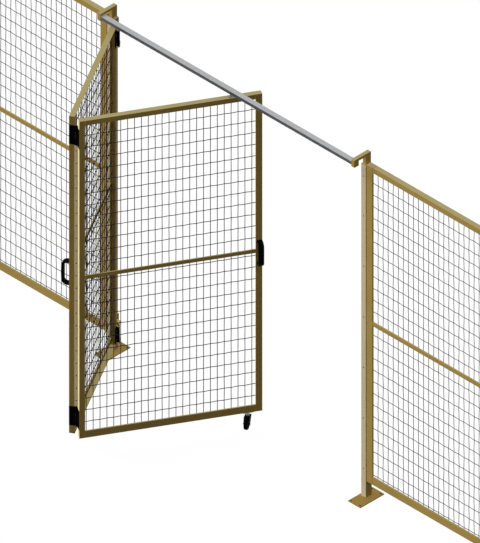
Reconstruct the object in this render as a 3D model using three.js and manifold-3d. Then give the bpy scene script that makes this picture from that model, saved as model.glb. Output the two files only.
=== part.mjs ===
// Wire mesh partition with a two-leaf folding door: two fixed mesh panels between four posts,
// and a pair of hinged leaves that fold out of the opening under an overhead guide rail.
// Millimetres, +Z up, +X along the wall, +Y to its back. The origin is the axis of the hinge
// post on the floor.
import * as THREE from "three";
import { mergeVertices } from "three/addons/utils/BufferGeometryUtils.js";
import Module from "manifold-3d";

const wasm = await Module();
wasm.setup();

// Driving dimensions.
const FIT = 0.3; // gap left between pieces that touch
const SINK = 1; // how far joined shapes run into each other
const SIDES = 24; // facets of a round piece

const POST_WIDE = 38;
const POST_DEEP = 45;
const POST_WALL = 5;
const POST_TOP = 2170;
const OPENING = 1877; // clear, between the faces of the two door posts
const PLATE_WIDE = 93;
const PLATE_LONG = 182;
const PLATE_THICK = 6;
const PLATE_SHIFT = [14, -16]; // the plates stand off centre under their posts
const ANCHOR_RADIUS = 5;
const ANCHOR_INSET = 13; // from the edges of a plate to its anchor holes
const CAP_THICK = 4;
const CAP_PLUG = 16;

const TUBE = 32; // depth of every frame, and width of the square tubes in the leaves
const TUBE_WALL = 1.25;
const STILE_TOP = 2; // plate that closes the top of a tube
const SHEET = 2.5; // thickness of the steel sheet that the lipped angles are rolled from
const LIP = 8; // depth of their lips and of the flat mid rails
const PANEL_STILE = 46;
const PANEL_RAILS = [33, 51, 28]; // height of the top, bottom and mid rail
const PANEL_WIDTH = 1200;
const PANEL_GAP = 4;
const PANEL_Y = -6.5; // the front of the panels is flush with the front of the posts
const PANEL_BOTTOM = 115.5;
const PANEL_HEIGHT = 2071;
const PANEL_MID = 1166;
const CLIP_WIDE = 20;
const CLIP_TALL = 40;
const CLIP_HEIGHTS = { lower: 420, upper: 1870 };

const BAR = 5; // width of a net bar
const NET_THICK = 3;
const NET_FACE = LIP + FIT - TUBE / 2; // the net lies behind the lips
const NET_LAP = 12;

const LEAD_STILE = 36;
const LEAF_RAILS = [31, 44, 24];
const LEAF_BOTTOM = 110;
const LEAF_HEIGHT = 2070;
const LEAF_MID = 1157;
const LEAF_Y = -28; // from a hinge pin to the centre plane of a leaf
const PIN_PITCH = 858; // from the post hinges to the fold hinges
const PIN_X = 102.5;
const PIN_Y = -58;
const FOLD = THREE.MathUtils.degToRad(60);
const FIRST_START = -20;
const FIRST_END = 855.5;
const SECOND_START = 2.5;
const SECOND_END = 1012.5;
const STRIP_THICK = 5; // strip on the fold end of the first leaf that covers the gap at the pins
const STRIP_BACK = 34; // from the centre plane of the leaf
const STRIP_LOW = 292;
const STRIP_TOP = 1994;

const RAIL_Y = PIN_Y + LEAF_Y;
const RAIL_BOTTOM = 2208;
const RAIL_DEEP = 33;
const RAIL_HIGH = 21;
const RAIL_WALL = 2;
const RAIL_SLOT = 20;
const BRACKET_WIDE = 25;
const BRACKET_TOP = 2245;
const BRACKET_ARM = 17;
const BRACKET_BASE = 4;
const BRACKET_LEG = 38;
const BRACKET_FRONT = -103;
const BRACKET_BACK = -69;
const BRACKET_LOW = 2197;

const BARREL = 8; // radius of a hinge knuckle
const POST_HINGE_TALL = 114;
const POST_HINGE_HEIGHTS = { lower: 179, upper: 2113 };
const POST_HINGE_END = 30; // of the plate on the hinge stile, past the pin
const POST_HINGE_BACK = -7;
const LUG = 6;
const LUG_FRONT = -38; // a lug runs along the opening, then slantwise to its pin
const LUG_BACK = -20;
const LUG_BENDS = [88, 80]; // of its front and its back edge
const LUG_NECK = 4; // from the pin to the end of the slant
const LEG_THICK = 6;
const FOLD_HINGE_TALL = 124;
const FOLD_HINGE_HEIGHTS = { lower: 225, upper: 2061 };
const FOLD_PLATE = 1.8;

const HANDLE_Z = 1150;
const HANDLE_TALL = 157;
const HANDLE_WIDE = 32;
const HANDLE_REACH = 44;
const HANDLE_BAR = 14;
const HANDLE_CORNER = 34;

const ROLLER_X = 841.8;
const ROLLER = 9; // radius
const ROLLER_LOW = 2212;
const ROLLER_TOP = 2225;
const STEM = 4; // radius
const COLLAR = 6.5; // radius
const COLLAR_THICK = 1.4;
const STEM_PLATE = [26, 16];

const CASTOR_X = 936;
const CASTOR_TURN = THREE.MathUtils.degToRad(-30);
const WHEEL = 33; // radius
const WHEEL_WIDE = 22;
const WHEEL_Z = WHEEL + 6.6; // the wheel clears the base plate it meets when the door closes
const TRAIL = 20;
const FORK_LOW = 76;
const FORK_TOP = 82;
const FORK_FRONT = -24;
const FORK_BACK = 18;
const CHEEK = 4;
const CHEEK_GAP = 1.5; // between a cheek and the wheel
const CHEEK_END = 9; // half the width of a cheek at the axle
const CASTOR_PLATE = [60, 30];
const COLUMN = 10; // radius
const KINGPIN_END = 4;

const GOLD = { color: 0x9c8149, roughness: 0.45, metalness: 0.2 };
const BEIGE = { color: 0xbdab8c, roughness: 0.5, metalness: 0.1 };
const ZINC = { color: 0xb3b5b7, roughness: 0.4, metalness: 0.8 };
const WIRE_GREY = { color: 0x5d5f5e, roughness: 0.5, metalness: 0.5 };
const BLACK = { color: 0x101012, roughness: 0.5, metalness: 0 };
const RUBBER = { color: 0x161616, roughness: 0.8, metalness: 0 };

// A named mesh with a material of its own.
function piece(name, geometry, finish, parent) {
  const mesh = new THREE.Mesh(geometry, new THREE.MeshStandardMaterial(finish));
  mesh.name = name;
  parent.add(mesh);
  return mesh;
}

function block(x0, x1, y0, y1, z0, z1) {
  const box = new THREE.BoxGeometry(x1 - x0, y1 - y0, z1 - z0);
  return box.translate((x0 + x1) / 2, (y0 + y1) / 2, (z0 + z1) / 2);
}

// An upright cylinder from z0 to z1.
function rod(radius, z0, z1, x = 0, y = 0) {
  const round = new THREE.CylinderGeometry(radius, radius, z1 - z0, SIDES);
  return round.rotateX(Math.PI / 2).translate(x, y, (z0 + z1) / 2);
}

// A cylinder that lies along x, from x0 to x1.
function axle(radius, x0, x1, y, z) {
  const round = new THREE.CylinderGeometry(radius, radius, x1 - x0, SIDES);
  return round.rotateZ(Math.PI / 2).translate((x0 + x1) / 2, y, z);
}

// An outline of [x, y] points raised from z0 to z1.
function prism(points, z0, z1) {
  const outline = new THREE.Shape(points.map(([x, y]) => new THREE.Vector2(x, y)));
  const raised = new THREE.ExtrudeGeometry(outline, { depth: z1 - z0, bevelEnabled: false });
  return raised.translate(0, 0, z0);
}

// An outline of [y, z] points drawn out along x, from x0 to x1.
function profile(points, x0, x1) {
  return prism(points, x0, x1).rotateX(Math.PI / 2).rotateZ(Math.PI / 2);
}

function solid(geometry) {
  const bare = geometry.clone();
  bare.deleteAttribute("normal");
  bare.deleteAttribute("uv");
  const merged = mergeVertices(bare, 1e-4);
  const vertProperties = new Float32Array(merged.attributes.position.array);
  const triVerts = new Uint32Array(merged.index.array);
  return new wasm.Manifold(new wasm.Mesh({ numProp: 3, vertProperties, triVerts }));
}

// Joins the first list of geometries and cuts the second list from them.
function carve(joined, cut = []) {
  let body = joined.map(solid).reduce((whole, next) => whole.add(next));
  for (const tool of cut) {
    body = body.subtract(solid(tool));
  }
  const mesh = body.getMesh();
  const geometry = new THREE.BufferGeometry();
  geometry.setAttribute("position", new THREE.BufferAttribute(mesh.vertProperties, 3));
  geometry.setIndex(new THREE.BufferAttribute(mesh.triVerts, 1));
  geometry.computeVertexNormals();
  return geometry;
}

// Square tube that stands upright, closed at the top and open at the foot.
function tubeStile(x, bottom, top, strip = []) {
  const half = TUBE / 2;
  const bore = half - TUBE_WALL;
  const outside = block(x - half, x + half, -half, half, bottom, top);
  const inside = block(x - bore, x + bore, -bore, bore, bottom - SINK, top - STILE_TOP);
  return carve([outside, ...strip], [inside]);
}

// Lipped angle that stands upright: a face from x0 to x1, a flange behind its outer edge, a lip
// behind its inner edge, and a plate across each end.
function angleStile(x0, x1, outer, bottom, top) {
  const half = TUBE / 2;
  const [flange, lip] = outer === x0 ? [x0, x1 - SHEET] : [x1 - SHEET, x0];
  return carve([
    block(x0, x1, -half, SHEET - half, bottom, top),
    block(flange, flange + SHEET, -half, half, bottom, top),
    block(lip, lip + SHEET, -half, LIP - half, bottom, top),
    block(x0, x1, -half, half, bottom, bottom + SHEET),
    block(x0, x1, -half, half, top - SHEET, top),
  ]);
}

// Lipped angle that lies along x: a face from z0 to z1, with its flange and its lip from the
// given heights up.
function angleRail(x0, x1, z0, z1, flange, lip) {
  const half = TUBE / 2;
  return carve([
    block(x0, x1, -half, SHEET - half, z0, z1),
    block(x0, x1, -half, half, flange, flange + SHEET),
    block(x0, x1, -half, LIP - half, lip, lip + SHEET),
  ]);
}

// Net of the infill, with its gaps in even columns and rows.
function net(x0, x1, z0, z1, columns, rows) {
  const stepX = (x1 - x0 - BAR) / columns;
  const stepZ = (z1 - z0 - BAR) / rows;
  const gaps = [];
  for (let i = 0; i < columns; i++) {
    for (let j = 0; j < rows; j++) {
      const left = x0 + BAR + i * stepX;
      const low = z0 + BAR + j * stepZ;
      const back = NET_FACE + NET_THICK + SINK;
      gaps.push(block(left, left + stepX - BAR, NET_FACE - SINK, back, low, low + stepZ - BAR));
    }
  }
  return carve([block(x0, x1, NET_FACE, NET_FACE + NET_THICK, z0, z1)], gaps);
}

// Rails, mid rail and net of a welded frame in the plane y = 0 of its parent, between stiles of
// the given widths. The net laps behind the lips of the angles.
function infill(label, x0, x1, [wide0, wide1], laps, heights, rails, gaps, parent) {
  const [lap0, lap1] = laps;
  const [low, height, middle] = heights;
  const [high1, high0, midHigh] = rails;
  const top = low + height;
  const left = x0 + wide0 + FIT;
  const right = x1 - wide1 - FIT;
  const under = top - high1;
  const over = low + high0;
  piece(`${label}_top_rail`, angleRail(left, right, under, top, top - SHEET, under), GOLD, parent);
  piece(`${label}_bottom_rail`, angleRail(left, right, low, over, low, over - SHEET), GOLD, parent);
  const front = -TUBE / 2;
  const bar = block(left, right, front, front + LIP, middle - midHigh / 2, middle + midHigh / 2);
  piece(`${label}_mid_rail`, bar, GOLD, parent);
  const reach = [over - NET_LAP, under + NET_LAP];
  piece(`${label}_mesh`, net(left - lap0, right + lap1, ...reach, ...gaps), WIRE_GREY, parent);
}

function post(label, x, parent) {
  const halfX = POST_WIDE / 2;
  const halfY = POST_DEEP / 2;
  const boreX = halfX - POST_WALL;
  const boreY = halfY - POST_WALL;
  const low = PLATE_THICK + FIT;
  const outside = block(-halfX, halfX, -halfY, halfY, low, POST_TOP);
  const inside = block(-boreX, boreX, -boreY, boreY, low - SINK, POST_TOP + SINK);
  piece(label, carve([outside], [inside]), BEIGE, parent).position.x = x;
}

// Base plate with an anchor hole in each corner.
function foot(label, x, parent) {
  const [shiftX, shiftY] = PLATE_SHIFT;
  const halfX = PLATE_WIDE / 2;
  const halfY = PLATE_LONG / 2;
  const plate = block(shiftX - halfX, shiftX + halfX, shiftY - halfY, shiftY + halfY, 0, PLATE_THICK);
  const holes = [];
  for (const holeX of [ANCHOR_INSET - halfX, halfX - ANCHOR_INSET]) {
    for (const holeY of [ANCHOR_INSET - halfY, halfY - ANCHOR_INSET]) {
      holes.push(rod(ANCHOR_RADIUS, -SINK, PLATE_THICK + SINK, shiftX + holeX, shiftY + holeY));
    }
  }
  piece(`${label}_foot`, carve([plate], holes), GOLD, parent).position.x = x;
}

// Cap with a plug that closes the top of an end post.
function cap(label, x, parent) {
  const halfX = POST_WIDE / 2;
  const halfY = POST_DEEP / 2;
  const inset = POST_WALL + FIT;
  const base = POST_TOP + FIT;
  const lid = block(-halfX, halfX, -halfY, halfY, base, base + CAP_THICK);
  const plugX = halfX - inset;
  const plugY = halfY - inset;
  const plug = block(-plugX, plugX, -plugY, plugY, base - CAP_PLUG, base + SINK);
  piece(`${label}_cap`, carve([lid, plug]), BLACK, parent).position.x = x;
}

// Bracket on top of a door post: a base, a leg, an arm forward and a drop that the rail butts against.
function railBracket(label, x, parent) {
  const back = POST_DEEP / 2;
  const half = BRACKET_WIDE / 2;
  const halfPost = POST_WIDE / 2;
  const bottom = POST_TOP + FIT;
  const outline = [
    [back - BRACKET_LEG, bottom + SINK],
    [back, bottom + SINK],
    [back, BRACKET_TOP],
    [BRACKET_FRONT, BRACKET_TOP],
    [BRACKET_FRONT, BRACKET_LOW],
    [BRACKET_BACK, BRACKET_LOW],
    [BRACKET_BACK, BRACKET_TOP - BRACKET_ARM],
    [back - BRACKET_LEG, BRACKET_TOP - BRACKET_ARM],
  ];
  const base = block(x - halfPost, x + halfPost, -back, back, bottom, bottom + BRACKET_BASE);
  const bracket = carve([profile(outline, x - half, x + half), base]);
  piece(`${label}_rail_bracket`, bracket, GOLD, parent);
}

// Channel open downwards, with a lip on each side of its slot.
function guideRail(parent) {
  const half = RAIL_DEEP / 2;
  const inner = half - RAIL_WALL;
  const slot = RAIL_SLOT / 2;
  const outline = [
    [-half, 0], [-slot, 0], [-slot, RAIL_WALL], [-inner, RAIL_WALL],
    [-inner, RAIL_HIGH - RAIL_WALL], [inner, RAIL_HIGH - RAIL_WALL],
    [inner, RAIL_WALL], [slot, RAIL_WALL], [slot, 0], [half, 0],
    [half, RAIL_HIGH], [-half, RAIL_HIGH],
  ];
  const start = BRACKET_WIDE / 2 + FIT;
  const channel = profile(outline, start, OPENING + POST_WIDE - start);
  piece("guide_rail", channel, ZINC, parent).position.set(0, RAIL_Y, RAIL_BOTTOM);
}

// Spacer clips between a post face and the stile beside it.
function clips(label, x, parent) {
  const halfX = PANEL_GAP / 2 - FIT;
  const halfY = CLIP_WIDE / 2;
  for (const [level, z] of Object.entries(CLIP_HEIGHTS)) {
    const clip = block(x - halfX, x + halfX, -halfY, halfY, z, z + CLIP_TALL);
    piece(`${label}_${level}_clip`, clip, BLACK, parent);
  }
}

function fixedPanel(label, x0, parent) {
  const x1 = x0 + PANEL_WIDTH;
  const frame = new THREE.Group();
  frame.position.y = PANEL_Y;
  parent.add(frame);
  const top = PANEL_BOTTOM + PANEL_HEIGHT;
  const left = angleStile(x0, x0 + PANEL_STILE, x0, PANEL_BOTTOM, top);
  const right = angleStile(x1 - PANEL_STILE, x1, x1, PANEL_BOTTOM, top);
  piece(`${label}_left_stile`, left, GOLD, frame);
  piece(`${label}_right_stile`, right, GOLD, frame);
  const wide = [PANEL_STILE, PANEL_STILE];
  const heights = [PANEL_BOTTOM, PANEL_HEIGHT, PANEL_MID];
  infill(label, x0, x1, wide, [NET_LAP, NET_LAP], heights, PANEL_RAILS, [6, 12], frame);
  clips(`${label}_left`, x0 - PANEL_GAP / 2, parent);
  clips(`${label}_right`, x1 + PANEL_GAP / 2, parent);
}

// Arm on the door post: a leg plate with a lug above and below the barrel of the leaf's half.
function postHingeArm(level, z, parent) {
  const face = POST_WIDE / 2 + FIT;
  const low = z - POST_HINGE_TALL / 2;
  const high = z + POST_HINGE_TALL / 2;
  const leg = block(face, face + LEG_THICK, -POST_DEEP / 2, POST_DEEP / 2, low, high);
  const start = face + LEG_THICK - SINK;
  const inner = PIN_X - BARREL;
  const outer = PIN_X + BARREL;
  const end = PIN_Y - BARREL;
  const [frontBend, backBend] = LUG_BENDS;
  const outline = [
    [start, LUG_FRONT],
    [frontBend, LUG_FRONT],
    [inner, PIN_Y + LUG_NECK],
    [inner, end],
    [outer, end],
    [outer, PIN_Y + LUG_NECK],
    [backBend, LUG_BACK],
    [start, LUG_BACK],
  ];
  const lugs = [prism(outline, low, low + LUG), prism(outline, high - LUG, high)];
  piece(`post_hinge_${level}_arm`, carve([leg, ...lugs]), GOLD, parent);
}

// The leaf's half of a post hinge: a plate on the back of the stile, with the barrel on the pin.
function postHingeLeaf(level, z, parent) {
  const low = z - POST_HINGE_TALL / 2 + LUG + FIT;
  const high = z + POST_HINGE_TALL / 2 - LUG - FIT;
  const back = LEAF_Y + TUBE / 2 + FIT;
  const plate = block(FIRST_START, POST_HINGE_END, back, POST_HINGE_BACK, low, high);
  piece(`post_hinge_${level}_leaf`, carve([plate, rod(BARREL, low, high)]), BLACK, parent);
}

// Half of a fold hinge on the end of a leaf, with the knuckles between the given heights.
function foldHinge(name, x0, x1, z, knuckles, parent) {
  const front = LEAF_Y - TUBE / 2;
  const back = -BARREL - SINK;
  const low = z - FOLD_HINGE_TALL / 2;
  const shapes = [block(x0, x1, front, back, low, low + FOLD_HINGE_TALL)];
  for (const [bottom, top] of knuckles) {
    shapes.push(rod(BARREL, low + bottom, low + top));
    shapes.push(block(x0, x1, back - SINK, 0, low + bottom, low + top));
  }
  return piece(name, carve(shapes), BLACK, parent);
}

// Bow handle with rounded corners on the front face of a stile, whose middle is at x.
function bowHandle(label, x, parent) {
  const face = LEAF_Y - TUBE / 2 - FIT;
  const bow = (reach, tall, corner, root) => {
    const front = face - reach;
    const half = tall / 2;
    const path = new THREE.Shape();
    path.moveTo(root, -half);
    path.lineTo(root, half);
    path.lineTo(front + corner, half);
    path.quadraticCurveTo(front, half, front, half - corner);
    path.lineTo(front, corner - half);
    path.quadraticCurveTo(front, -half, front + corner, -half);
    path.closePath();
    return path;
  };
  const raise = (path, wide) => {
    const form = new THREE.ExtrudeGeometry(path, { depth: wide, bevelEnabled: false, curveSegments: 6 });
    return form.translate(0, 0, -wide / 2).rotateX(Math.PI / 2).rotateZ(Math.PI / 2);
  };
  const outside = raise(bow(HANDLE_REACH, HANDLE_TALL, HANDLE_CORNER, face), HANDLE_WIDE);
  const reach = HANDLE_REACH - HANDLE_BAR;
  const tall = HANDLE_TALL - 2 * HANDLE_BAR;
  const hollow = bow(reach, tall, HANDLE_CORNER - HANDLE_BAR, face + SINK);
  const inside = raise(hollow, HANDLE_WIDE + 2 * SINK);
  piece(`${label}_handle`, carve([outside], [inside]).translate(x, 0, HANDLE_Z), BLACK, parent);
}

// Plate and stem on top of the second leaf that carry the guide roller.
function rollerStem(parent) {
  const base = LEAF_BOTTOM + LEAF_HEIGHT + FIT;
  const [halfX, halfY] = STEM_PLATE.map((size) => size / 2);
  const plate = block(-halfX, halfX, -halfY, halfY, base, base + CAP_THICK);
  const stem = rod(STEM, base + SINK, ROLLER_TOP + SINK);
  const collar = rod(COLLAR, ROLLER_LOW - FIT - COLLAR_THICK, ROLLER_LOW - FIT);
  const head = rod(COLLAR, ROLLER_TOP + FIT, ROLLER_TOP + FIT + COLLAR_THICK);
  const carrier = carve([plate, stem, collar, head]);
  piece("guide_roller_stem", carrier, ZINC, parent).position.set(ROLLER_X, LEAF_Y, 0);
  const bore = rod(STEM + FIT, ROLLER_LOW - SINK, ROLLER_TOP + SINK);
  const roller = carve([rod(ROLLER, ROLLER_LOW, ROLLER_TOP)], [bore]);
  piece("guide_roller", roller, BLACK, parent).position.set(ROLLER_X, LEAF_Y, 0);
}

// Swivel castor under the second leaf: stem, trailing fork with its axle, and wheel.
function castor(parent) {
  const swivel = new THREE.Group();
  swivel.position.set(CASTOR_X, LEAF_Y, 0);
  swivel.rotation.z = CASTOR_TURN;
  parent.add(swivel);
  const top = LEAF_BOTTOM - FIT;
  const [halfX, halfY] = CASTOR_PLATE.map((size) => size / 2);
  const flange = block(-halfX, halfX, -halfY, halfY, top - CAP_THICK, top);
  const column = rod(COLUMN, FORK_TOP + FIT, top - SINK);
  const kingpin = rod(STEM, FORK_LOW - KINGPIN_END, FORK_TOP + SINK);
  const stem = piece("castor_stem", carve([flange, column, kingpin]), ZINC, parent);
  stem.position.set(CASTOR_X, LEAF_Y, 0);
  const half = WHEEL_WIDE / 2;
  const inner = half + CHEEK_GAP;
  const outer = inner + CHEEK;
  const crown = block(-outer, outer, FORK_FRONT, FORK_BACK, FORK_LOW, FORK_TOP);
  const outline = [
    [-TRAIL - CHEEK_END, WHEEL_Z - CHEEK_END],
    [CHEEK_END - TRAIL, WHEEL_Z - CHEEK_END],
    [FORK_BACK, FORK_LOW + SINK],
    [FORK_FRONT, FORK_LOW + SINK],
  ];
  const cheeks = [profile(outline, -outer, -inner), profile(outline, inner, outer)];
  const spindle = axle(STEM, 1 - outer, outer - 1, -TRAIL, WHEEL_Z);
  const bore = rod(STEM + FIT, FORK_LOW - SINK, FORK_TOP + SINK);
  piece("castor_fork", carve([crown, ...cheeks, spindle], [bore]), BLACK, swivel);
  const hub = axle(STEM + FIT, -half - SINK, half + SINK, -TRAIL, WHEEL_Z);
  piece("castor_wheel", carve([axle(WHEEL, -half, half, -TRAIL, WHEEL_Z)], [hub]), RUBBER, swivel);
}

const partition = new THREE.Group();

const LATCH_X = OPENING + POST_WIDE;
const PANEL_STEP = PANEL_WIDTH + 2 * PANEL_GAP + POST_WIDE;
post("left_end_post", -PANEL_STEP, partition);
post("hinge_post", 0, partition);
post("latch_post", LATCH_X, partition);
post("right_end_post", LATCH_X + PANEL_STEP, partition);
foot("left_end_post", -PANEL_STEP, partition);
foot("hinge_post", 0, partition);
foot("latch_post", LATCH_X, partition);
foot("right_end_post", LATCH_X + PANEL_STEP, partition);
cap("left_end_post", -PANEL_STEP, partition);
cap("right_end_post", LATCH_X + PANEL_STEP, partition);
railBracket("hinge_post", 0, partition);
railBracket("latch_post", LATCH_X, partition);
guideRail(partition);
fixedPanel("left_panel", -POST_WIDE / 2 - PANEL_GAP - PANEL_WIDTH, partition);
fixedPanel("right_panel", LATCH_X + POST_WIDE / 2 + PANEL_GAP, partition);
for (const [level, z] of Object.entries(POST_HINGE_HEIGHTS)) {
  postHingeArm(level, z, partition);
}

// A leaf is drawn along +x from its hinge pin, with its frame in front of the pin line. Its stiles
// with hinges are square tubes, and the rest of its frame is lipped angle.
const LEAF_TOP = LEAF_BOTTOM + LEAF_HEIGHT;
const LEAF_HEIGHTS = [LEAF_BOTTOM, LEAF_HEIGHT, LEAF_MID];

function leafFrame(parent) {
  const frame = new THREE.Group();
  frame.position.y = LEAF_Y;
  parent.add(frame);
  return frame;
}

const firstLeaf = new THREE.Group();
firstLeaf.position.set(PIN_X, PIN_Y, 0);
firstLeaf.rotation.z = -FOLD;
partition.add(firstLeaf);
const firstFrame = leafFrame(firstLeaf);
const strip = block(FIRST_END - STRIP_THICK, FIRST_END, TUBE / 2 - SINK, STRIP_BACK, STRIP_LOW, STRIP_TOP);
const hingeStile = tubeStile(FIRST_START + TUBE / 2, LEAF_BOTTOM, LEAF_TOP);
const firstFoldStile = tubeStile(FIRST_END - TUBE / 2, LEAF_BOTTOM, LEAF_TOP, [strip]);
piece("first_leaf_hinge_stile", hingeStile, GOLD, firstFrame);
piece("first_leaf_fold_stile", firstFoldStile, GOLD, firstFrame);
const tubes = [TUBE, TUBE];
infill("first_leaf", FIRST_START, FIRST_END, tubes, [0, 0], LEAF_HEIGHTS, LEAF_RAILS, [5, 14], firstFrame);
for (const [level, z] of Object.entries(POST_HINGE_HEIGHTS)) {
  postHingeLeaf(level, z, firstLeaf);
}
bowHandle("first_leaf", FIRST_END - TUBE / 2, firstLeaf);

const secondLeaf = new THREE.Group();
secondLeaf.position.set(PIN_X + PIN_PITCH * Math.cos(FOLD), PIN_Y - PIN_PITCH * Math.sin(FOLD), 0);
secondLeaf.rotation.z = FOLD;
partition.add(secondLeaf);
const secondFrame = leafFrame(secondLeaf);
const secondFoldStile = tubeStile(SECOND_START + TUBE / 2, LEAF_BOTTOM, LEAF_TOP);
const leadStile = angleStile(SECOND_END - LEAD_STILE, SECOND_END, SECOND_END, LEAF_BOTTOM, LEAF_TOP);
piece("second_leaf_fold_stile", secondFoldStile, GOLD, secondFrame);
piece("second_leaf_lead_stile", leadStile, GOLD, secondFrame);
const wides = [TUBE, LEAD_STILE];
const laps = [0, NET_LAP];
infill("second_leaf", SECOND_START, SECOND_END, wides, laps, LEAF_HEIGHTS, LEAF_RAILS, [6, 12], secondFrame);
bowHandle("second_leaf", SECOND_END - TUBE / 2, secondLeaf);
rollerStem(secondLeaf);
castor(secondLeaf);

const KNUCKLE = FOLD_HINGE_TALL / 3;
const OUTER_KNUCKLES = [[0, KNUCKLE - FIT], [2 * KNUCKLE + FIT, FOLD_HINGE_TALL]];
const MIDDLE_KNUCKLE = [[KNUCKLE, 2 * KNUCKLE]];
for (const [level, z] of Object.entries(FOLD_HINGE_HEIGHTS)) {
  const label = `fold_hinge_${level}`;
  const start = FIRST_END + FIT - PIN_PITCH;
  const first = foldHinge(`${label}_first_half`, start, start + FOLD_PLATE, z, OUTER_KNUCKLES, firstLeaf);
  first.position.x = PIN_PITCH;
  const end = SECOND_START - FIT;
  foldHinge(`${label}_second_half`, end - FOLD_PLATE, end, z, MIDDLE_KNUCKLE, secondLeaf);
}

export default partition;
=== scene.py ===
import math

import bpy
from mathutils import Matrix, Vector


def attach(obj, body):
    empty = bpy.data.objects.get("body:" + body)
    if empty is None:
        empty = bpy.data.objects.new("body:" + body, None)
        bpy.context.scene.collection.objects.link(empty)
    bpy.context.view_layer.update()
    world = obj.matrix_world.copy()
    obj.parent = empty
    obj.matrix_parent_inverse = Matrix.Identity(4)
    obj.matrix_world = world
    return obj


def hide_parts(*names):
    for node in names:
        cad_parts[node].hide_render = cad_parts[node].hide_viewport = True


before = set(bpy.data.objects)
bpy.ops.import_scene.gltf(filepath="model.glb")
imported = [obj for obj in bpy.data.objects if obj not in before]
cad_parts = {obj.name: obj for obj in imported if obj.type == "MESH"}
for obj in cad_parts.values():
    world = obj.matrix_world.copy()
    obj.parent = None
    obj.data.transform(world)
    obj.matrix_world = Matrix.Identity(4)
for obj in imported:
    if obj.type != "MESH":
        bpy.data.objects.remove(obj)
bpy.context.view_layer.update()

# Posts of the partition: four uprights of rolled steel box section with rounded edges.
# They are powder coated in old gold by spraying, which leaves a satin skin with faint orange
# peel, and their front faces are coloured much paler than their sides, picked by which way each face looks.


def linear(code):
    """An sRGB hex colour as linear red, green, blue and alpha."""
    parts = [int(code[i : i + 2], 16) / 255 for i in (1, 3, 5)]
    return [v / 12.92 if v <= 0.04045 else ((v + 0.055) / 1.055) ** 2.4 for v in parts] + [1]


def add(tree, kind, inputs=(), **options):
    """A new node with its options set, and its inputs filled or linked."""
    made = tree.nodes.new(kind)
    for option, value in options.items():
        setattr(made, option, value)
    for socket, value in dict(inputs).items():
        if isinstance(value, bpy.types.NodeSocket):
            tree.links.new(value, made.inputs[socket])
        else:
            made.inputs[socket].default_value = value
    return made


def start(name):
    """An empty material, its node tree and the place in the part that its patterns follow."""
    finish = bpy.data.materials.new(name)
    finish.use_nodes = True
    finish.node_tree.nodes.clear()
    place = add(finish.node_tree, "ShaderNodeTexCoord").outputs["Object"]
    return finish, finish.node_tree, place


def drifting(tree, drift, shades):
    """A colour that drifts between two shades."""
    tone = add(tree, "ShaderNodeMix", {0: drift.outputs["Fac"]}, data_type="RGBA")
    tone.inputs[6].default_value = linear(shades[0])
    tone.inputs[7].default_value = linear(shades[1])
    return tone.outputs[2]


# The shade that faces looking up take is a painted light and shade, not a colour of the coat.
FACING = 0.8  # how far a face looks up, or to the front, before it takes another shade


def powder_coat(name, shades, roughness, gloss=0.06, above=None, front=None):
    """Sprayed polyester powder, baked: slow drifts of shade, and orange peel drawn at 3 mm.

    Faces that look up can be painted a shade of their own, as painted light and shade for the lamp above
    them, and faces that look to the front can have a colour of their own.
    """
    finish, tree, place = start(name)
    drift = add(tree, "ShaderNodeTexNoise", {"Vector": place, "Scale": 5.0, "Detail": 3.0})
    colour = drifting(tree, drift, shades)
    facing = add(tree, "ShaderNodeSeparateXYZ", {0: add(tree, "ShaderNodeNewGeometry").outputs["Normal"]})
    # Painted light and shade: faces that look up are coloured by which way they face, for the lamp above.
    if above:
        heights = {0: facing.outputs["Z"], 1: FACING}
        painted_top_mask = add(tree, "ShaderNodeMath", heights, operation="GREATER_THAN")
        both = {0: painted_top_mask.outputs[0], 6: colour, 7: drifting(tree, drift, above)}
        colour = add(tree, "ShaderNodeMix", both, data_type="RGBA").outputs[2]
    # Faces that look to the front take a colour of their own, picked by which way they face.
    if front:
        depths = {0: facing.outputs["Y"], 1: -FACING}
        forward = add(tree, "ShaderNodeMath", depths, operation="LESS_THAN")
        both = {0: forward.outputs[0], 6: colour, 7: drifting(tree, drift, front)}
        colour = add(tree, "ShaderNodeMix", both, data_type="RGBA").outputs[2]
    peel = add(tree, "ShaderNodeTexNoise", {"Vector": place, "Scale": 330.0, "Detail": 2.0})
    dimples = {"Height": peel.outputs["Fac"], "Strength": 0.12, "Distance": 0.0004}
    relief = add(tree, "ShaderNodeBump", dimples)
    grades = {0: drift.outputs["Fac"], 3: roughness - 0.05, 4: roughness + 0.07}
    sheen = add(tree, "ShaderNodeMapRange", grades)
    shader = add(
        tree,
        "ShaderNodeBsdfPrincipled",
        {"Base Color": colour, "Roughness": sheen.outputs[0], "Normal": relief.outputs[0], "IOR": 1.5},
    )
    shader.inputs["Specular IOR Level"].default_value = gloss
    add(tree, "ShaderNodeOutputMaterial", {0: shader.outputs[0]})
    return finish


SAME_POINT = 0.00002  # corners nearer than this are one corner


def round_edges(node, width, finish):
    """Welds the faces of a solid together, rounds its edges and coats it."""
    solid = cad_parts[node]
    solid.modifiers.new("joined_faces", "WELD").merge_threshold = SAME_POINT
    edges = solid.modifiers.new("rounded_edges", "BEVEL")
    edges.width = width
    edges.segments = 2
    edges.limit_method = "ANGLE"
    edges.use_clamp_overlap = True
    for held in solid.material_slots:
        held.material = finish


POSTS = {"left_end_post": -1.246, "hinge_post": 0.0, "latch_post": 1.915, "right_end_post": 3.161}
POST_WIDE = 0.038
POST_DEEP = 0.045
GOLD = ("#a98c48", "#b59a56")
# Painted light: the top faces of the frames and posts are painted a paler, greyer gold, for the lamp above
# them.
GOLD_TOP_PAINTED_LIGHT = ("#9b8e60", "#a79a6c")
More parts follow.
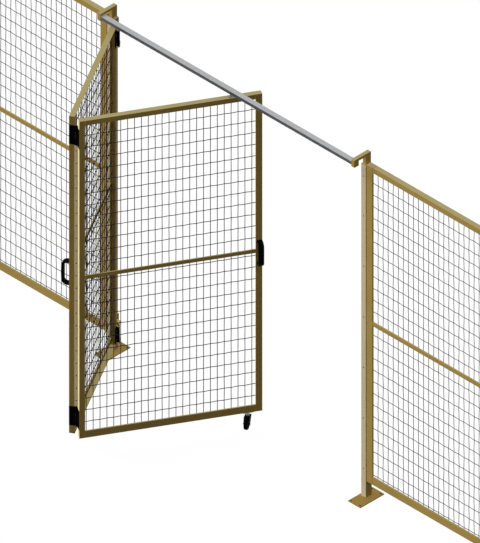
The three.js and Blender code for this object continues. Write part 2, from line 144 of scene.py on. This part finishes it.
# The posts' front faces are coloured paler than their sides, picked by which way a face looks.
PALE_FRONT = ("#d3c29e", "#dbcaa6")
gold_coat = powder_coat("old_gold_powder_coat", GOLD, 0.5, above=GOLD_TOP_PAINTED_LIGHT)
post_coat = powder_coat("post_powder_coat", GOLD, 0.5, above=GOLD_TOP_PAINTED_LIGHT, front=PALE_FRONT)
for post in POSTS:
    round_edges(post, 0.003, post_coat)

# Base plates: flat steel laser cut, with an anchor hole in each corner, welded round the post.
# A thin weld bead stays visible at the joint, and countersunk black anchors sit in the holes
# flush with the top.


def piece(name, points, faces, finish, slot, body, place=Matrix(), smooth=False):
    """A new mesh that is placed in the part, coated, and carried by one of its bodies."""
    mesh = bpy.data.meshes.new(name)
    mesh.from_pydata([place @ Vector(p) for p in points], [], faces)
    mesh.validate()
    mesh.polygons.foreach_set("use_smooth", [smooth] * len(mesh.polygons))
    mesh.materials.append(finish)
    made = bpy.data.objects.new(name, mesh)
    bpy.context.collection.objects.link(made)
    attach(made, body)
    return made


def swept(path, section, closed=False):
    """A section of (sideways, upwards) points carried along a path of (point, side, up)."""
    count = len(section)
    points = [Vector(p) + Vector(side) * u + Vector(up) * v for p, side, up in path for u, v in section]
    steps = len(path) if closed else len(path) - 1
    faces = []
    for i in range(steps):
        here, there = i * count, (i + 1) % len(path) * count
        for j in range(count):
            k = (j + 1) % count
            faces.append((here + j, here + k, there + k, there + j))
    if not closed:
        faces.append(tuple(reversed(range(count))))
        faces.append(tuple(range(len(points) - count, len(points))))
    return points, faces


def turned(outline, steps=32):
    """A closed (radius, height) outline turned about the upright axis, open on the axis."""
    points = []
    for i in range(steps):
        turn = 2 * math.pi * i / steps
        points += [(r * math.cos(turn), r * math.sin(turn), z) for r, z in outline]
    count = len(outline)
    faces = []
    for i in range(steps):
        here, there = i * count, (i + 1) % steps * count
        faces += [(here + j, there + j, there + j + 1, here + j + 1) for j in range(count - 1)]
    if outline[0][0] > 0:
        faces.append(tuple(reversed(range(0, len(points), count))))
        faces.append(tuple(range(count - 1, len(points), count)))
    return points, faces


def circle(radius, sides):
    """The corners of a round section."""
    turns = [2 * math.pi * i / sides for i in range(sides)]
    return [(radius * math.cos(turn), radius * math.sin(turn)) for turn in turns]


def together(shapes):
    """Several (points, faces, place) as one list of points and faces."""
    points, faces = [], []
    for some, their, place in shapes:
        base = len(points)
        points += [place @ Vector(p) for p in some]
        faces += [tuple(base + i for i in face) for face in their]
    return points, faces


def zinc_plate(name, dark, light, roughness, grain, metallic=0.75, gloss=0.5):
    """Zinc on steel: crystals of slightly different greys, with a soft metal gloss."""
    finish, tree, place = start(name)
    crystals = add(tree, "ShaderNodeTexVoronoi", {"Vector": place, "Scale": grain})
    tone = add(tree, "ShaderNodeMix", {0: crystals.outputs["Color"]}, data_type="RGBA")
    tone.inputs[6].default_value = linear(dark)
    tone.inputs[7].default_value = linear(light)
    grades = {0: crystals.outputs["Distance"], 3: roughness, 4: roughness + 0.15}
    sheen = add(tree, "ShaderNodeMapRange", grades)
    shader = add(
        tree,
        "ShaderNodeBsdfPrincipled",
        {"Base Color": tone.outputs[2], "Roughness": sheen.outputs[0], "Metallic": metallic},
    )
    shader.inputs["Specular IOR Level"].default_value = gloss
    add(tree, "ShaderNodeOutputMaterial", {0: shader.outputs[0]})
    return finish


black_zinc = zinc_plate("black_zinc_plate", "#1a1a1b", "#242426", 0.4, 500.0)
# Painted shade: the base plates' tops are painted a deeper gold, so that the lamp above doesn't show them
# paler than their sides.
PLATE_TOP_PAINTED_SHADE = ("#8d7439", "#977d42")  # deeper than on top of the frames
plate_coat = powder_coat("base_plate_powder_coat", GOLD, 0.5, above=PLATE_TOP_PAINTED_SHADE)
PLATE_TOP = 0.006
BEAD = 0.0022
ANCHORS_ACROSS = (-0.0195, 0.0475)  # from the axis of a post
ANCHORS_ALONG = (-0.094, 0.062)
bead_path = []
for side_x, side_y in ((1, 1), (-1, 1), (-1, -1), (1, -1)):
    x = side_x * POST_WIDE / 2
    y = side_y * POST_DEEP / 2
    out = Vector((x, y, 0)).normalized()
    bead_path.append(((x, y, PLATE_TOP), out, (0, 0, 1)))
anchor_outline = [(0.0020, 0.0022), (0.0022, 0.0056), (0.0043, 0.0058), (0.0047, 0.0052), (0.0047, 0.0005)]
for post, x in POSTS.items():
    round_edges(f"{post}_foot", 0.0012, plate_coat)
    bead = swept(bead_path, circle(BEAD, 8), closed=True)
    piece(f"{post}_weld", *bead, gold_coat, "gold_paint", "frame", Matrix.Translation((x, 0, 0)), True)
    anchors = [
        (*turned(anchor_outline, 24), Matrix.Translation((x + across, along, 0)))
        for across in ANCHORS_ACROSS
        for along in ANCHORS_ALONG
    ]
    piece(f"{post}_anchors", *together(anchors), black_zinc, "zinc_plated_steel", "frame")

# Small parts of black moulded polypropylene: the caps in the end posts, and the clips that hold
# each fixed panel between its posts. Moulding leaves them matt, with a fine even grain.

MOULDED_GLOSS = 0.015


def moulded(name, code, roughness, grain):
    """Moulded plastic or rubber: one colour, matt, with the grain of its mould at 1 to 2 mm."""
    finish, tree, place = start(name)
    texture = add(tree, "ShaderNodeTexNoise", {"Vector": place, "Scale": grain, "Detail": 4.0})
    dents = {"Height": texture.outputs["Fac"], "Strength": 0.2, "Distance": 0.0003}
    relief = add(tree, "ShaderNodeBump", dents)
    grades = {0: texture.outputs["Fac"], 3: roughness - 0.08, 4: roughness + 0.08}
    wear = add(tree, "ShaderNodeMapRange", grades)
    shader = add(
        tree,
        "ShaderNodeBsdfPrincipled",
        {"Base Color": linear(code), "Roughness": wear.outputs[0], "Normal": relief.outputs[0], "IOR": 1.5},
    )
    shader.inputs["Specular IOR Level"].default_value = MOULDED_GLOSS
    add(tree, "ShaderNodeOutputMaterial", {0: shader.outputs[0]})
    return finish


black_plastic = moulded("black_polypropylene", "#0a0a0b", 0.55, 900.0)
for side in ("left", "right"):
    round_edges(f"{side}_end_post_cap", 0.002, black_plastic)
    for end in ("left", "right"):
        for level in ("lower", "upper"):
            round_edges(f"{side}_panel_{end}_{level}_clip", 0.0008, black_plastic)

# Fixed panels: frames welded from lipped angle, rolled from 2.5 mm steel sheet, with a flat bar as
# mid rail. They are coated after welding, so that the coat runs unbroken over the joints.

BARS = ("top_rail", "bottom_rail", "mid_rail")
for side in ("left", "right"):
    for bar in ("left_stile", "right_stile", *BARS):
        round_edges(f"{side}_panel_{bar}", 0.002, gold_coat)

# Nets: steel wires of about 4 mm, crimped over and under each other at every crossing and welded
# to the back of the frames' lips. The wires run 38.1 mm apart across and 76.2 mm up, and their
# zinc has gone dull and dark grey.

PANEL_WIRE = 0.0018  # radius
CRIMP = 0.0015
PITCH_ACROSS = 0.0381
PITCH_UP = 0.0762
NET_CENTRE = -0.0045  # from the centre plane of a frame, towards its front
WIRE_SIDES = 6
wire_zinc = zinc_plate("dull_wire_zinc", "#232321", "#31312e", 0.7, 150.0, metallic=0.3, gloss=0.1)


def lattice(low, high, pitch, known):
    """Wire places at an even pitch between two ends, on a lattice with one known place."""
    first = known + math.ceil((low - known) / pitch) * pitch
    return [first + i * pitch for i in range(int((high - first) / pitch) + 1)]


def net(name, node, body, place, wire, ends, uprights, levels):
    """Wires of a given radius, woven in the plane of a frame between its (x0, x1, z0, z1)."""
    x0, x1, z0, z1 = ends
    section = circle(wire, WIRE_SIDES)
    wires = []
    for i, x in enumerate(uprights):
        line = [(x, NET_CENTRE, z0)]
        line += [(x, NET_CENTRE + CRIMP * (-1) ** (i + j), z) for j, z in enumerate(levels)]
        line += [(x, NET_CENTRE, z1)]
        wires.append((*swept([(p, (1, 0, 0), (0, 1, 0)) for p in line], section), place))
    for j, z in enumerate(levels):
        line = [(x0, NET_CENTRE, z)]
        line += [(x, NET_CENTRE - CRIMP * (-1) ** (i + j), z) for i, x in enumerate(uprights)]
        line += [(x1, NET_CENTRE, z)]
        wires.append((*swept([(p, (0, 1, 0), (0, 0, 1)) for p in line], section), place))
    woven = piece(name, *together(wires), wire_zinc, "galvanised_wire", body, smooth=True)
    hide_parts(node)


PANEL_LOW = 0.1545
PANEL_HIGH = 2.1655
PANEL_LEVEL = 0.1722  # one of the level wires
PANEL_Y = -0.0065
# The two ends of each panel's net, and the place of one of its upright wires.
PANEL_NETS = {"left": (-1.1887, -0.0573, -1.1754), "right": (1.9723, 3.1037, 1.9758)}
panel_levels = lattice(PANEL_LOW, PANEL_HIGH, PITCH_UP, PANEL_LEVEL)
panel_place = Matrix.Translation((0, PANEL_Y, 0))
for side, (x0, x1, known) in PANEL_NETS.items():
    net(
        f"{side}_panel_net",
        f"{side}_panel_mesh",
        "frame",
        panel_place,
        PANEL_WIRE,
        (x0, x1, PANEL_LOW, PANEL_HIGH),
        lattice(x0, x1, PITCH_ACROSS, known),
        panel_levels,
    )

# Rail brackets: welded from flat steel bar and coated like the frames. Each stands on a door post,
# has two button head screws in its back, and reaches forward to the end of the rail.

BRACKET_SCREWS = (2.19, 2.228)
button_head = [(0.0022, 0.0004), (0.0024, 0.0022), (0.0038, 0.0026), (0.0054, 0.0014), (0.0056, 0.0)]


def aim(x, y, z, direction):
    """The place of a screw head that sits at a point and looks in a direction."""
    turn = Vector(direction).to_track_quat("Z", "Y").to_matrix().to_4x4()
    return Matrix.Translation((x, y, z)) @ turn


for post in ("hinge_post", "latch_post"):
    round_edges(f"{post}_rail_bracket", 0.0025, gold_coat)
screws = [
    (*turned(button_head, 24), aim(POSTS[post], POST_DEEP / 2, z, (0, 1, 0)))
    for post in ("hinge_post", "latch_post")
    for z in BRACKET_SCREWS
]
piece("bracket_screws", *together(screws), black_zinc, "zinc_plated_steel", "frame")

# Post fixings: small black blind rivets that close the drilled holes in the front face of each
# post. Their low domes stand about 1 mm proud.

rivet = [(0.0, 0.0011), (0.002, 0.0010), (0.0032, 0.0005), (0.0036, 0.0)]
RIVET_HEIGHTS = (0.19, 0.52, 0.85, 1.18, 1.51, 1.84, 2.1)
rivets = [
    (*turned(rivet, 16), aim(x, -POST_DEEP / 2, z, (0, -1, 0)))
    for x in POSTS.values()
    for z in RIVET_HEIGHTS
]
piece("post_rivets", *together(rivets), black_zinc, "zinc_plated_steel", "frame")

# Guide rail: a channel roll formed from pre-galvanised strip, open at the bottom. The zinc on top
# is bright, with the spangle of hot dipping, and the sides are painted dark grey as painted shade.

rail_finish, tree, place = start("hot_dip_galvanised_strip")
spangle = add(tree, "ShaderNodeTexVoronoi", {"Vector": place, "Scale": 120.0})
facing = add(tree, "ShaderNodeSeparateXYZ", {0: add(tree, "ShaderNodeNewGeometry").outputs["Normal"]})
SHADE_PAINTED_BELOW = 0.2  # how far a face looks up where the zinc starts to brighten
BRIGHT_ABOVE = 0.9
above = add(tree, "ShaderNodeMapRange", {0: facing.outputs["Z"], 1: SHADE_PAINTED_BELOW, 2: BRIGHT_ABOVE})
bright = add(tree, "ShaderNodeMix", {0: spangle.outputs["Color"]}, data_type="RGBA")
bright.inputs[6].default_value = linear("#9d9fa0")
bright.inputs[7].default_value = linear("#acaeaf")
# Painted shade: faces that look sideways and down are coloured dark grey, and the tops keep the bright
# zinc.
painted_shade_zinc = add(tree, "ShaderNodeMix", {0: above.outputs[0], 7: bright.outputs[2]}, data_type="RGBA")
painted_shade_zinc.inputs[6].default_value = linear("#48494b")
shader = add(
    tree,
    "ShaderNodeBsdfPrincipled",
    {"Base Color": painted_shade_zinc.outputs[2], "Roughness": 0.42, "Metallic": 0.3},
)
add(tree, "ShaderNodeOutputMaterial", {0: shader.outputs[0]})
round_edges("guide_rail", 0.0006, rail_finish)

# Post hinges: a steel arm on the hinge post, coated like it, holds a pin above and below the black
# barrel on the first leaf. Each pin has a mushroom head, and each black plate two screws.

satin_black = powder_coat("satin_black_powder_coat", ("#020203", "#040405"), 0.45, gloss=0.01)
FOLD = math.radians(60)  # each leaf stands this far from closed
PIN_PITCH = 0.858
POST_PIN = (0.1025, -0.058)
first_place = Matrix.Translation((*POST_PIN, 0)) @ Matrix.Rotation(-FOLD, 4, "Z")
second_place = first_place @ Matrix.Translation((PIN_PITCH, 0, 0)) @ Matrix.Rotation(2 * FOLD, 4, "Z")
POST_HINGES = {"lower": 0.179, "upper": 2.113}
PIN_END = 0.057  # from the middle of a hinge
PLATE_SCREW = (0.019, -0.007)  # from the pin
PLATE_SCREW_RISE = 0.028
pin_head = [(0.0, 0.0028), (0.003, 0.0026), (0.0052, 0.0014), (0.0055, 0.0)]
pins = []
plate_screws = []
for level, z in POST_HINGES.items():
    round_edges(f"post_hinge_{level}_arm", 0.0015, gold_coat)
    round_edges(f"post_hinge_{level}_leaf", 0.001, satin_black)
    pins.append((*turned(pin_head, 24), aim(*POST_PIN, z + PIN_END, (0, 0, 1))))
    pins.append((*turned(pin_head, 24), aim(*POST_PIN, z - PIN_END, (0, 0, -1))))
    for rise in (-PLATE_SCREW_RISE, PLATE_SCREW_RISE):
        plate_screws.append((*turned(button_head, 24), aim(*PLATE_SCREW, z + rise, (0, 1, 0))))
piece("post_hinge_pins", *together(pins), satin_black, "black_paint", "frame")
screws = together(plate_screws)
piece("post_hinge_screws", *screws, black_zinc, "zinc_plated_steel", "leaf_1", first_place)

# First leaf: stiles of light square tube, which carry the hinges, with rails of the lipped angle
# welded between them. Its fold end carries a pale strip, riveted on, that covers the gap.

for bar in ("hinge_stile", "fold_stile", *BARS):
    round_edges(f"first_leaf_{bar}", 0.0018, gold_coat)
LEAF_WIRE = 0.0021  # radius
LEAF_LOW = 0.142
LEAF_MIDDLE = 1.157  # behind the mid rail, where the level wires jump by about half a pitch
LEAF_HIGH = 2.161
LOWER_LEVEL = 0.2089  # one of the level wires below the mid rail
UPPER_LEVEL = 0.1720  # a place on the lattice of the level wires above it
LEAF_Y = -0.028  # from the pins to the centre plane of a leaf
leaf_levels = lattice(LEAF_LOW, LEAF_MIDDLE, PITCH_UP, LOWER_LEVEL)
leaf_levels += lattice(LEAF_MIDDLE, LEAF_HIGH, PITCH_UP, UPPER_LEVEL)
leaf_shift = Matrix.Translation((0, LEAF_Y, 0))
FIRST_NET = (0.0123, 0.8232)
FIRST_UPRIGHT = 0.0177  # one of the upright wires
net(
    "first_leaf_net",
    "first_leaf_mesh",
    "leaf_1",
    first_place @ leaf_shift,
    LEAF_WIRE,
    (*FIRST_NET, LEAF_LOW, LEAF_HIGH),
    lattice(*FIRST_NET, PITCH_ACROSS, FIRST_UPRIGHT),
    leaf_levels,
)
STRIP_END = 0.8555
STRIP_HEIGHTS = (0.294, 1.992)
STRIP_THICK = 0.0008
STRIP_RIVETS = 21
FIRST_RIVET = 0.3276
RIVET_PITCH = 0.0816
RIVET_Y = -0.0035  # near the middle line of the strip
strip_section = [(-0.0136, 0.0), (-0.0132, STRIP_THICK), (0.0052, STRIP_THICK), (0.0056, 0.0)]
strip_path = [((STRIP_END, 0, z), (0, 1, 0), (1, 0, 0)) for z in STRIP_HEIGHTS]
pale_coat = powder_coat("pale_powder_coat", ("#fbe9c0", "#fff4d2"), 0.5)
strip = swept(strip_path, strip_section)
piece("fold_strip", *strip, pale_coat, "beige_paint", "leaf_1", first_place)
strip_rivets = [
    (*turned(rivet, 16), aim(STRIP_END + STRIP_THICK, RIVET_Y, FIRST_RIVET + RIVET_PITCH * i, (1, 0, 0)))
    for i in range(STRIP_RIVETS)
]
rivets = together(strip_rivets)
piece("fold_strip_rivets", *rivets, black_zinc, "zinc_plated_steel", "leaf_1", first_place)

# Fold hinges: pressed steel plates on the meeting ends of the two leaves, with knuckles rolled on
# round bar, all in satin black. The pin shows as a low dome at either end.

FOLD_HINGES = {"lower": 0.225, "upper": 2.061}
FOLD_HALF = 0.062
fold_pins = []
for level, z in FOLD_HINGES.items():
    for half in ("first", "second"):
        round_edges(f"fold_hinge_{level}_{half}_half", 0.0006, satin_black)
    fold_pins.append((*turned(pin_head, 24), aim(PIN_PITCH, 0, z + FOLD_HALF, (0, 0, 1))))
    fold_pins.append((*turned(pin_head, 24), aim(PIN_PITCH, 0, z - FOLD_HALF, (0, 0, -1))))
piece("fold_hinge_pins", *together(fold_pins), satin_black, "black_paint", "leaf_1", first_place)

# Bow handles: cast in nylon, black, with round corners and a soft edged grip, and screwed through
# the face of the stile. One sits on the fold end of the first leaf and one on the lead stile.

HANDLE_FACE = -0.0443  # the foot of a handle, from the pins
HANDLE_BACK = -0.0812  # the centre line of its grip
HANDLE_HALF = 0.0713
HANDLE_CORNER = 0.025
HANDLE_Z = 1.15
BEND_STEPS = 8
GRIP = [(0.0160, 0.0035), (0.0152, 0.0058), (0.0130, 0.0070), (0.0, 0.0072)]
GRIP += [(-0.0130, 0.0070), (-0.0152, 0.0058), (-0.0160, 0.0035)]
GRIP += [(-u, -v) for u, v in GRIP]
black_nylon = moulded("black_glass_filled_nylon", "#030304", 0.45, 700.0)


def bow_handle(name, node, body, place, x):
    """A grip swept out from the face of a stile, round two bends and back to it."""
    path = [((x, HANDLE_FACE, -HANDLE_HALF), (1, 0, 0), (0, 0, -1))]
    bend = range(BEND_STEPS + 1)
    for end, steps in ((-1, bend), (1, reversed(bend))):
        for i in steps:
            turn = math.pi / 2 * i / BEND_STEPS
            y = HANDLE_BACK + HANDLE_CORNER * (1 - math.sin(turn))
            z = end * (HANDLE_HALF - HANDLE_CORNER * (1 - math.cos(turn)))
            up = (0, -math.sin(turn), end * math.cos(turn))
            path.append(((x, y, z), (1, 0, 0), up))
    path.append(((x, HANDLE_FACE, HANDLE_HALF), (1, 0, 0), (0, 0, 1)))
    rest = place @ Matrix.Translation((0, 0, HANDLE_Z))
    bow = piece(name, *swept(path, GRIP), black_nylon, "black_paint", body, rest, True)
    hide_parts(node)


FIRST_HANDLE_X = 0.8395
bow_handle("first_leaf_bow", "first_leaf_handle", "leaf_1", first_place, FIRST_HANDLE_X)

# Second leaf: the wider leaf, welded and coated like the first. It folds on the fold hinges, and
# its fold end carries a pale yellow sheet in three lengths, clear of those hinges: a painted highlight.

for bar in ("fold_stile", "lead_stile", *BARS):
    round_edges(f"second_leaf_{bar}", 0.0018, gold_coat)
LEAF_END = 0.0025
HIGHLIGHT_RUNS = ((0.112, 0.161), (0.289, 1.997), (2.125, 2.178))
edge_section = [(-0.0140, 0.0), (-0.0138, -0.0003), (0.0138, -0.0003), (0.0140, 0.0)]
highlight_lengths = []
for run in HIGHLIGHT_RUNS:
    edge_path = [((LEAF_END, LEAF_Y, z), (0, 1, 0), (1, 0, 0)) for z in run]
    highlight_lengths.append((*swept(edge_path, edge_section), second_place))
# Painted highlight: a pale yellow colour on the end face of the fold stile, where the lamp falls on it.
highlight_yellow = powder_coat("painted_highlight_yellow", ("#dfd498", "#e8dda2"), 0.5)
piece("fold_edge_highlight", *together(highlight_lengths), highlight_yellow, "beige_paint", "leaf_2")
SECOND_NET = (0.0348, 0.9882)
SECOND_UPRIGHT = 0.04315  # one of the upright wires
net(
    "second_leaf_net",
    "second_leaf_mesh",
    "leaf_2",
    second_place @ leaf_shift,
    LEAF_WIRE,
    (*SECOND_NET, LEAF_LOW, LEAF_HIGH),
    lattice(*SECOND_NET, PITCH_ACROSS, SECOND_UPRIGHT),
    leaf_levels,
)
SECOND_HANDLE_X = 0.9965
bow_handle("second_leaf_bow", "second_leaf_handle", "leaf_2", second_place, SECOND_HANDLE_X)

# Guide roller: a black nylon roller on a zinc plated stem, which stands on a small plate welded
# to the top of the second leaf. A lock nut sets its height in the channel of the rail.

zinc = zinc_plate("bright_zinc_plate", "#85888b", "#9a9da0", 0.35, 400.0)
round_edges("guide_roller_stem", 0.0008, zinc)
round_edges("guide_roller", 0.0015, black_nylon)
ROLLER_X = 0.8418
STEM_PLATE_TOP = 2.1843
nut_outline = [(0.0041, 0.0), (0.0066, 0.0), (0.0068, 0.0006), (0.0068, 0.0040)]
nut_outline += [(0.0062, 0.0046), (0.0041, 0.0046)]


def ring(outline, steps):
    """A closed outline that doesn't reach the axis, turned all the way round."""
    points, faces = turned(outline, steps)
    count = len(outline)
    faces = faces[:-2]
    for i in range(steps):
        here, there = i * count + count - 1, (i + 1) % steps * count + count - 1
        faces.append((here, there, there - count + 1, here - count + 1))
    return points, faces


lock_nut = second_place @ Matrix.Translation((ROLLER_X, LEAF_Y, STEM_PLATE_TOP))
piece("roller_lock_nut", *ring(nut_outline, 6), zinc, "zinc_plated_steel", "leaf_2", lock_nut)

# Castor: a pressed fork in satin black swivels on a zinc plated column, with a solid rubber tyre
# on a dark polyamide hub. The tyre has round shoulders and a mould line at its middle.

round_edges("castor_stem", 0.001, zinc)
round_edges("castor_fork", 0.001, satin_black)
CASTOR_X = 0.936
CASTOR_TURN = math.radians(-30)
CASTOR_TRAIL = 0.020
CHEEK_FACE = 0.0165
WHEEL_Z = 0.0396
tyre_rubber = moulded("black_solid_rubber", "#050505", 0.7, 500.0)
hub_plastic = moulded("grey_polyamide_hub", "#141516", 0.5, 700.0)
tyre_side = [(0.0225, -0.0092), (0.0245, -0.0108), (0.0285, -0.0108), (0.0312, -0.0092)]
tyre_side.append((0.0326, -0.0058))
tyre_outline = tyre_side + [(0.033, 0.0)] + [(r, -z) for r, z in reversed(tyre_side)]
hub_side = [(0.0044, -0.0108), (0.008, -0.0108), (0.0088, -0.0078), (0.019, -0.0062)]
hub_side += [(0.0208, -0.0088), (0.0224, -0.0088)]
hub_outline = hub_side + [(r, -z) for r, z in reversed(hub_side)]
kingpin = second_place @ Matrix.Translation((CASTOR_X, LEAF_Y, 0))
swivel = kingpin @ Matrix.Rotation(CASTOR_TURN, 4, "Z")
wheel_centre = swivel @ Matrix.Translation((0, -CASTOR_TRAIL, WHEEL_Z))
wheel_place = wheel_centre @ Matrix.Rotation(math.pi / 2, 4, "Y")
round_tyre = ring(tyre_outline, 48)
tyre = piece("castor_tyre", *round_tyre, tyre_rubber, "wheel_rubber", "castor_wheel", wheel_place, True)
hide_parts("castor_wheel")
piece("castor_hub", *ring(hub_outline, 48), hub_plastic, "black_plastic", "castor_wheel", wheel_place)
nut = [(0.0, 0.0042), (0.0036, 0.0042), (0.0052, 0.003), (0.0052, 0.0)]
nuts = [
    (*turned(nut, 6), swivel @ aim(CHEEK_FACE * side, -CASTOR_TRAIL, WHEEL_Z, (side, 0, 0)))
    for side in (-1, 1)
]
piece("castor_axle_nuts", *together(nuts), zinc, "zinc_plated_steel", "castor_fork")

# Studio: a plain white floor that keeps a faint shadow, even light from the room, and a broad lamp
# from the left, the front and above, of which a sixth throws shadows.


def straight_sight(tree):
    """One where a ray is seen straight, in a mirror or through glass, and nought elsewhere."""
    ray = add(tree, "ShaderNodeLightPath").outputs
    mirrored = {0: ray["Is Camera Ray"], 1: ray["Is Glossy Ray"]}
    first = add(tree, "ShaderNodeMath", mirrored, operation="MAXIMUM")
    either = {0: first.outputs[0], 1: ray["Is Transmission Ray"]}
    return add(tree, "ShaderNodeMath", either, operation="MAXIMUM").outputs[0]


GLOWING_SHARE = 0.94  # the rest of the floor's white shows the shadow
floor_finish, tree, _ = start("white_studio_floor")
paint = add(tree, "ShaderNodeBsdfDiffuse", {"Color": linear("#ffffff")})
glow = add(tree, "ShaderNodeEmission", {"Color": linear("#ffffff"), "Strength": 1.0})
white = add(tree, "ShaderNodeMixShader", {0: GLOWING_SHARE, 1: paint.outputs[0], 2: glow.outputs[0]})
dull = add(tree, "ShaderNodeBsdfDiffuse", {"Color": linear("#303030")})
sides = {0: straight_sight(tree), 1: dull.outputs[0], 2: white.outputs[0]}
mixed = add(tree, "ShaderNodeMixShader", sides)
add(tree, "ShaderNodeOutputMaterial", {0: mixed.outputs[0]})
FLOOR = 150.0
FLOOR_Z = -0.0005  # just under the base plates
corners = [(FLOOR * x, FLOOR * y, FLOOR_Z) for x, y in ((-1, -1), (1, -1), (1, 1), (-1, 1))]
floor_mesh = bpy.data.meshes.new("studio_floor")
floor_mesh.from_pydata(corners, [], [(0, 1, 2, 3)])
floor_mesh.materials.append(floor_finish)
floor = bpy.data.objects.new("studio_floor", floor_mesh)
bpy.context.collection.objects.link(floor)

scene = bpy.context.scene
scene.view_settings.view_transform = "Standard"
room = scene.world or bpy.data.worlds.new("studio_room")
scene.world = room
room.use_nodes = True
tree = room.node_tree
tree.nodes.clear()
ROOM_LIGHT = 0.35
strength = add(tree, "ShaderNodeMapRange", {0: straight_sight(tree), 3: ROOM_LIGHT, 4: 1.0})
sky = add(tree, "ShaderNodeBackground", {"Color": linear("#ffffff"), "Strength": strength.outputs[0]})
add(tree, "ShaderNodeOutputWorld", {0: sky.outputs[0]})
LAMPS = {"broad_lamp": (3.2, False), "shadow_lamp": (0.6, True)}  # energy, and if it throws shadows
LAMP_SPREAD = math.radians(12)
LAMP_SIDE = Vector((-0.698, -0.403, 0.593))
for name, (energy, shadow) in LAMPS.items():
    lamp = bpy.data.lights.new(name, "SUN")
    lamp.energy = energy
    lamp.angle = LAMP_SPREAD
    lamp.use_shadow = shadow
    stand = bpy.data.objects.new(name, lamp)
    stand.rotation_euler = LAMP_SIDE.to_track_quat("Z", "Y").to_euler()
    bpy.context.collection.objects.link(stand)

# Camera: an isometric drawing's view, without perspective. It looks along the diagonal of a cube,
# from the right, the front and above, at a point in the opening.

DISTANCE = 12.0
VIEW_CENTRE = Vector((1.1612, -0.2, 1.1875))
VIEW_WIDTH = 2.896
view_back = Vector((1, -1, 1)).normalized()
lens = bpy.data.cameras.new("isometric_view")
lens.type = "ORTHO"
lens.ortho_scale = VIEW_WIDTH
lens.clip_end = 100
camera = bpy.data.objects.new("isometric_view", lens)
camera.location = VIEW_CENTRE + view_back * DISTANCE
camera.rotation_euler = view_back.to_track_quat("Z", "Y").to_euler()
bpy.context.collection.objects.link(camera)
scene.camera = camera
